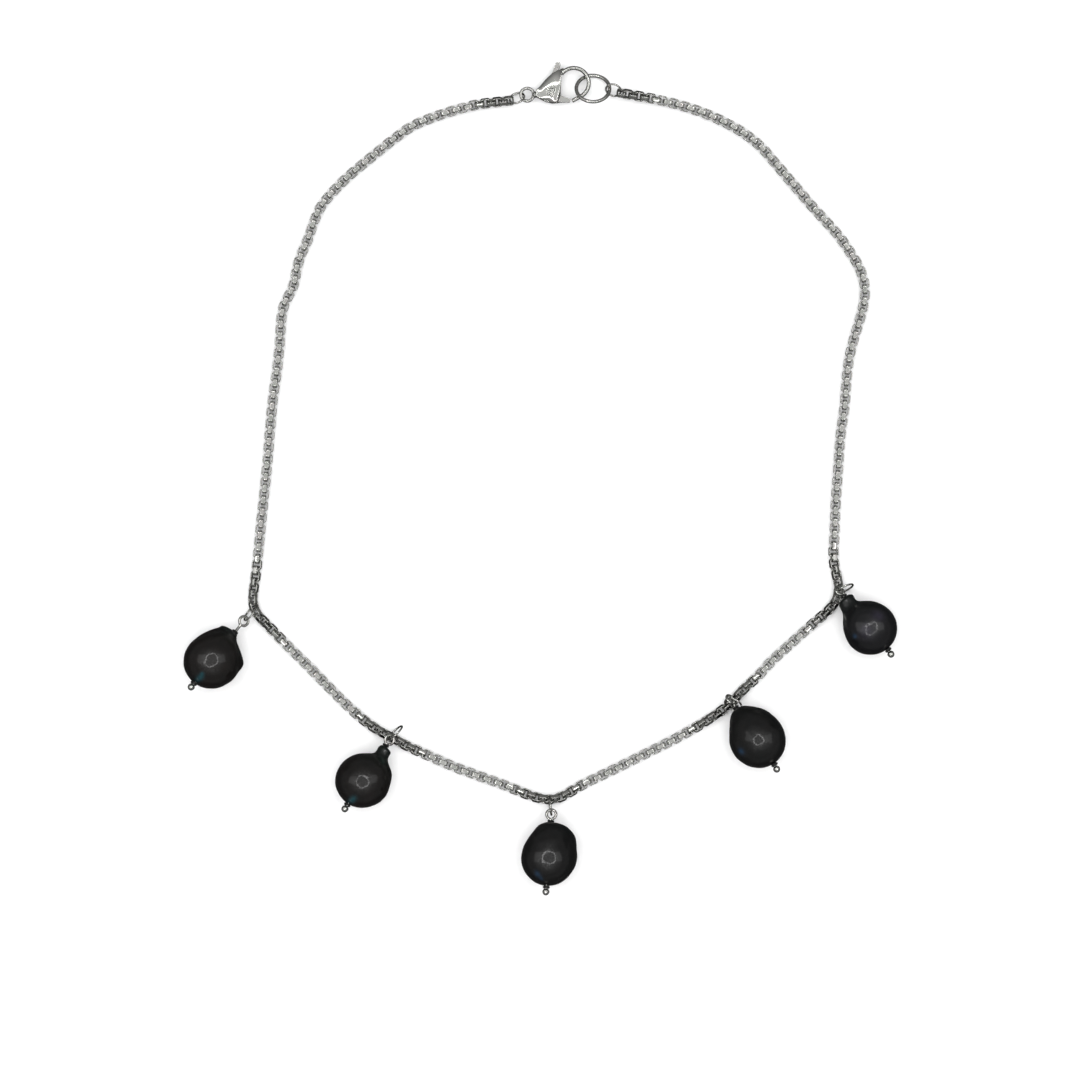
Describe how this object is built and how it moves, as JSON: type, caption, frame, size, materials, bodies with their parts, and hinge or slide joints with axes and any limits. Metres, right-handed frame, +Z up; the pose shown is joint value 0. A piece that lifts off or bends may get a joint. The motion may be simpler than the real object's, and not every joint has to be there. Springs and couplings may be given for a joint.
{
  "type": "pearl drop necklace",
  "caption": "Necklace of dark baroque pearl drops hung by jump rings and headpins from a steel box chain that a lobster clasp closes.",
  "frame": {"origin": "middle of the necklace's footprint, on the surface it lies on", "axes": "+Z up from that surface, +Y from the pearls towards the clasp, +X to the right seen from above"},
  "size_m": [0.1516, 0.1776, 0.012],
  "materials": {
    "chain_steel": "polished",
    "fitting_steel": "polished",
    "pearl": "glossy nacre, near black with green and aubergine overtones",
    "bead": "glossy black"
  },
  "bodies": {
    "chain_01": {"chain_01": "chain_steel"},
    "chain_02": {"chain_02": "chain_steel"},
    "chain_03": {"chain_03": "chain_steel"},
    "chain_04": {"chain_04": "chain_steel"},
    "chain_05": {"chain_05": "chain_steel"},
    "chain_06": {"chain_06": "chain_steel"},
    "chain_07": {"chain_07": "chain_steel"},
    "chain_08": {"chain_08": "chain_steel"},
    "chain_09": {"chain_09": "chain_steel"},
    "chain_10": {"chain_10": "chain_steel"},
    "chain_11": {"chain_11": "chain_steel"},
    "chain_12": {"chain_12": "chain_steel"},
    "chain_13": {"chain_13": "chain_steel"},
    "chain_14": {"chain_14": "chain_steel"},
    "chain_15": {"chain_15": "chain_steel"},
    "chain_16": {"chain_16": "chain_steel"},
    "chain_17": {"chain_17": "chain_steel"},
    "chain_18": {"chain_18": "chain_steel"},
    "chain_19": {"chain_19": "chain_steel"},
    "chain_20": {"chain_20": "chain_steel"},
    "chain_21": {"chain_21": "chain_steel"},
    "chain_22": {"chain_22": "chain_steel"},
    "chain_23": {"chain_23": "chain_steel"},
    "chain_24": {"chain_24": "chain_steel"},
    "chain_25": {"chain_25": "chain_steel"},
    "jump_ring_1": {"jump_ring_1": "fitting_steel"},
    "headpin_1": {"headpin_1": "fitting_steel", "top_bead_1": "bead", "bottom_bead_1": "bead"},
    "pearl_1": {"pearl_1": "pearl"},
    "jump_ring_2": {"jump_ring_2": "fitting_steel"},
    "headpin_2": {"headpin_2": "fitting_steel", "top_bead_2": "bead", "bottom_bead_2": "bead"},
    "pearl_2": {"pearl_2": "pearl"},
    "jump_ring_3": {"jump_ring_3": "fitting_steel"},
    "headpin_3": {"headpin_3": "fitting_steel", "top_bead_3": "bead", "bottom_bead_3": "bead"},
    "pearl_3": {"pearl_3": "pearl"},
    "jump_ring_4": {"jump_ring_4": "fitting_steel"},
    "headpin_4": {"headpin_4": "fitting_steel", "top_bead_4": "bead", "bottom_bead_4": "bead"},
    "pearl_4": {"pearl_4": "pearl"},
    "jump_ring_5": {"jump_ring_5": "fitting_steel"},
    "headpin_5": {"headpin_5": "fitting_steel", "top_bead_5": "bead", "bottom_bead_5": "bead"},
    "pearl_5": {"pearl_5": "pearl"},
    "end_ring_left": {"end_ring_left": "fitting_steel"},
    "clasp": {"clasp_body": "fitting_steel", "lever_pin": "fitting_steel", "lever_spring": "fitting_steel"},
    "lever": {"clasp_lever": "fitting_steel"},
    "end_ring_right": {"end_ring_right": "fitting_steel"},
    "closing_ring": {"closing_ring": "fitting_steel"}
  },
  "joints": [
    {"name": "lever_swing", "type": "hinge", "parent": "clasp", "child": "lever", "pos_m": [0.00183, 0.08221, 0.0017], "axis": [0, 0, 1], "range_deg": [0, 16], "stiffness_Nm_per_rad": 0.0004, "springref_deg": -8.59},
    {"name": "clasp_swing", "type": "hinge", "parent": "end_ring_left", "child": "clasp", "pos_m": [-0.00283, 0.08178, 0.0017], "axis": [0, 0, 1], "range_deg": [-6, 6]},
    {"name": "end_ring_left_swing", "type": "hinge", "parent": "chain_01", "child": "end_ring_left", "pos_m": [-0.00675, 0.0805, 0.00155], "axis": [0, 0, -1], "range_deg": [-5, 5]},
    {"name": "end_ring_right_swing", "type": "hinge", "parent": "chain_25", "child": "end_ring_right", "pos_m": [0.0173, 0.08205, 0.0021], "axis": [0, 0, 1], "range_deg": [-5, 5]},
    {"name": "closing_ring_spin", "type": "hinge", "parent": "end_ring_right", "child": "closing_ring", "pos_m": [0.0112, 0.083, 0.00237], "axis": [0, 0.5446, 0.8387], "continuous": true},
    {"name": "jump_ring_1_swing", "type": "hinge", "parent": "chain_09", "child": "jump_ring_1", "pos_m": [-0.06122, -0.02741, 0.00115], "axis": [-0.5319, -0.2351, -0.8135], "range_deg": [-30, 50]},
    {"name": "jump_ring_2_swing", "type": "hinge", "parent": "chain_11", "child": "jump_ring_2", "pos_m": [-0.03222, -0.05526, 0.00115], "axis": [-0.2882, -0.5077, 0.8119], "range_deg": [-20, 60]},
    {"name": "jump_ring_3_swing", "type": "hinge", "parent": "chain_13", "child": "jump_ring_3", "pos_m": [0.00184, -0.06873, 0.00115], "axis": [0.0512, -0.6689, -0.7415], "range_deg": [-30, 35]},
    {"name": "jump_ring_4_swing", "type": "hinge", "parent": "chain_15", "child": "jump_ring_4", "pos_m": [0.03981, -0.04886, 0.00115], "axis": [0.6246, -0.6828, -0.379], "range_deg": [-3, 40]},
    {"name": "jump_ring_5_swing", "type": "hinge", "parent": "chain_17", "child": "jump_ring_5", "pos_m": [0.0636, -0.02462, 0.00115], "axis": [0.5686, -0.0173, -0.8224], "range_deg": [-15, 20]},
    {"name": "headpin_1_swing", "type": "hinge", "parent": "jump_ring_1", "child": "headpin_1", "pos_m": [-0.06314, -0.03038, 0.00206], "axis": [0.2514, -0.1999, 0.947], "range_deg": [-60, 40]},
    {"name": "headpin_2_swing", "type": "hinge", "parent": "jump_ring_2", "child": "headpin_2", "pos_m": [-0.03202, -0.05563, 0.00305], "axis": [0.4713, 0.1864, 0.8621], "range_deg": [-45, 25]},
    {"name": "headpin_3_swing", "type": "hinge", "parent": "jump_ring_3", "child": "headpin_3", "pos_m": [0.00232, -0.07145, 0.00373], "axis": [-0.0557, 0.6941, 0.7177], "range_deg": [-50, 50]},
    {"name": "headpin_4_swing", "type": "hinge", "parent": "jump_ring_4", "child": "headpin_4", "pos_m": [0.04028, -0.04702, 0.00345], "axis": [-0.8179, -0.0775, -0.5701], "range_deg": [0, 45]},
    {"name": "headpin_5_swing", "type": "hinge", "parent": "jump_ring_5", "child": "headpin_5", "pos_m": [0.06355, -0.0239, 0.00331], "axis": [-0.532, -0.487, -0.6927], "range_deg": [-15, 50]},
    {"name": "pearl_1_spin", "type": "hinge", "parent": "headpin_1", "child": "pearl_1", "pos_m": [-0.06504, -0.03282, 0.0032], "axis": [-0.5778, -0.7396, 0.3451], "continuous": true},
    {"name": "pearl_2_spin", "type": "hinge", "parent": "headpin_2", "child": "pearl_2", "pos_m": [-0.03375, -0.0583, 0.00389], "axis": [-0.5268, -0.8113, 0.2536], "continuous": true},
    {"name": "pearl_3_spin", "type": "hinge", "parent": "headpin_3", "child": "pearl_3", "pos_m": [0.0021, -0.07465, 0.00448], "axis": [-0.0679, -0.9712, 0.2285], "continuous": true},
    {"name": "pearl_4_spin", "type": "hinge", "parent": "headpin_4", "child": "pearl_4", "pos_m": [0.04208, -0.04968, 0.00421], "axis": [0.5439, -0.8064, 0.2323], "continuous": true},
    {"name": "pearl_5_spin", "type": "hinge", "parent": "headpin_5", "child": "pearl_5", "pos_m": [0.06558, -0.02641, 0.00402], "axis": [0.6143, -0.7586, 0.217], "continuous": true},
    {"name": "chain_bend_01_02", "type": "hinge", "parent": "chain_02", "child": "chain_01", "pos_m": [-0.02184, 0.07738, 0.00115], "axis": [0, 0, 1], "range_deg": [-9.58, 9.58]},
    {"name": "chain_bend_02_03", "type": "hinge", "parent": "chain_03", "child": "chain_02", "pos_m": [-0.03469, 0.06967, 0.00115], "axis": [0, 0, 1], "range_deg": [-12, 12]},
    {"name": "chain_bend_03_04", "type": "hinge", "parent": "chain_04", "child": "chain_03", "pos_m": [-0.04688, 0.05799, 0.00115], "axis": [0, 0, 1], "range_deg": [-4.06, 4.06]},
    {"name": "chain_bend_04_05", "type": "hinge", "parent": "chain_05", "child": "chain_04", "pos_m": [-0.0522, 0.04319, 0.00115], "axis": [0, 0, 1], "range_deg": [-6.96, 6.96]},
    {"name": "chain_bend_05_06", "type": "hinge", "parent": "chain_06", "child": "chain_05", "pos_m": [-0.0557, 0.02869, 0.00115], "axis": [0, 0, 1], "range_deg": [-12, 12]},
    {"name": "chain_bend_06_07", "type": "hinge", "parent": "chain_07", "child": "chain_06", "pos_m": [-0.05765, 0.01188, 0.00115], "axis": [0, 0, 1], "range_deg": [-5.28, 5.28]},
    {"name": "chain_bend_07_08", "type": "hinge", "parent": "chain_08", "child": "chain_07", "pos_m": [-0.05901, -0.00318, 0.00115], "axis": [0, 0, 1], "range_deg": [-7.93, 7.93]},
    {"name": "chain_bend_08_09", "type": "hinge", "parent": "chain_09", "child": "chain_08", "pos_m": [-0.06059, -0.01891, 0.00115], "axis": [0, 0, 1], "range_deg": [-12, 12]},
    {"name": "chain_bend_09_10", "type": "hinge", "parent": "chain_10", "child": "chain_09", "pos_m": [-0.05539, -0.03449, 0.00115], "axis": [0, 0, 1], "range_deg": [-4.6, 4.6]},
    {"name": "chain_bend_10_11", "type": "hinge", "parent": "chain_11", "child": "chain_10", "pos_m": [-0.04116, -0.04876, 0.00115], "axis": [0, 0, 1], "range_deg": [-6.61, 6.61]},
    {"name": "chain_bend_11_12", "type": "hinge", "parent": "chain_12", "child": "chain_11", "pos_m": [-0.02622, -0.05836, 0.00115], "axis": [0, 0, 1], "range_deg": [-12, 12]},
    {"name": "chain_bend_12_13", "type": "hinge", "parent": "chain_13", "child": "chain_12", "pos_m": [-0.00749, -0.06576, 0.00115], "axis": [0, 0, 1], "range_deg": [-5.58, 5.58]},
    {"name": "chain_bend_13_14", "type": "hinge", "parent": "chain_13", "child": "chain_14", "pos_m": [0.01069, -0.0647, 0.00115], "axis": [0, 0, 1], "range_deg": [-5.21, 5.21]},
    {"name": "chain_bend_14_15", "type": "hinge", "parent": "chain_14", "child": "chain_15", "pos_m": [0.03099, -0.0546, 0.00115], "axis": [0, 0, 1], "range_deg": [-12, 12]},
    {"name": "chain_bend_15_16", "type": "hinge", "parent": "chain_15", "child": "chain_16", "pos_m": [0.04553, -0.04326, 0.00115], "axis": [0, 0, 1], "range_deg": [-7.01, 7.01]},
    {"name": "chain_bend_16_17", "type": "hinge", "parent": "chain_16", "child": "chain_17", "pos_m": [0.05777, -0.03157, 0.00115], "axis": [0, 0, 1], "range_deg": [-5.24, 5.24]},
    {"name": "chain_bend_17_18", "type": "hinge", "parent": "chain_17", "child": "chain_18", "pos_m": [0.0626, -0.01545, 0.00115], "axis": [0, 0, 1], "range_deg": [-12, 12]},
    {"name": "chain_bend_18_19", "type": "hinge", "parent": "chain_18", "child": "chain_19", "pos_m": [0.06358, 0.00145, 0.00115], "axis": [0, 0, 1], "range_deg": [-7.14, 7.14]},
    {"name": "chain_bend_19_20", "type": "hinge", "parent": "chain_19", "child": "chain_20", "pos_m": [0.06509, 0.01648, 0.00115], "axis": [0, 0, 1], "range_deg": [-5.59, 5.59]},
    {"name": "chain_bend_20_21", "type": "hinge", "parent": "chain_20", "child": "chain_21", "pos_m": [0.06769, 0.03202, 0.00115], "axis": [0, 0, 1], "range_deg": [-12, 12]},
    {"name": "chain_bend_21_22", "type": "hinge", "parent": "chain_21", "child": "chain_22", "pos_m": [0.06626, 0.04807, 0.00115], "axis": [0, 0, 1], "range_deg": [-6.87, 6.87]},
    {"name": "chain_bend_22_23", "type": "hinge", "parent": "chain_22", "child": "chain_23", "pos_m": [0.05661, 0.05966, 0.00115], "axis": [0, 0, 1], "range_deg": [-2.46, 2.46]},
    {"name": "chain_bend_23_24", "type": "hinge", "parent": "chain_23", "child": "chain_24", "pos_m": [0.0462, 0.07156, 0.00115], "axis": [0, 0, 1], "range_deg": [-10.64, 10.64]},
    {"name": "chain_bend_24_25", "type": "hinge", "parent": "chain_24", "child": "chain_25", "pos_m": [0.03294, 0.07864, 0.00115], "axis": [0, 0, 1], "range_deg": [-12, 12]}
  ],
  "couplings": [
    {"joint": "chain_bend_01_02", "follows": "chain_bend_02_03", "ratio": -0.79695},
    {"joint": "chain_bend_03_04", "follows": "chain_bend_02_03", "ratio": -0.33679},
    {"joint": "chain_bend_04_05", "follows": "chain_bend_05_06", "ratio": -0.57837},
    {"joint": "chain_bend_06_07", "follows": "chain_bend_05_06", "ratio": -0.43903},
    {"joint": "chain_bend_07_08", "follows": "chain_bend_08_09", "ratio": -0.65984},
    {"joint": "chain_bend_09_10", "follows": "chain_bend_08_09", "ratio": -0.38228},
    {"joint": "chain_bend_10_11", "follows": "chain_bend_11_12", "ratio": -0.54927},
    {"joint": "chain_bend_12_13", "follows": "chain_bend_11_12", "ratio": -0.46347},
    {"joint": "chain_bend_13_14", "follows": "chain_bend_14_15", "ratio": -0.43313},
    {"joint": "chain_bend_15_16", "follows": "chain_bend_14_15", "ratio": -0.58272},
    {"joint": "chain_bend_16_17", "follows": "chain_bend_17_18", "ratio": -0.43577},
    {"joint": "chain_bend_18_19", "follows": "chain_bend_17_18", "ratio": -0.59388},
    {"joint": "chain_bend_19_20", "follows": "chain_bend_20_21", "ratio": -0.46482},
    {"joint": "chain_bend_21_22", "follows": "chain_bend_20_21", "ratio": -0.57108},
    {"joint": "chain_bend_22_23", "follows": "chain_bend_24_25", "ratio": 0.20346},
    {"joint": "chain_bend_23_24", "follows": "chain_bend_24_25", "ratio": -0.88503}
  ]
}
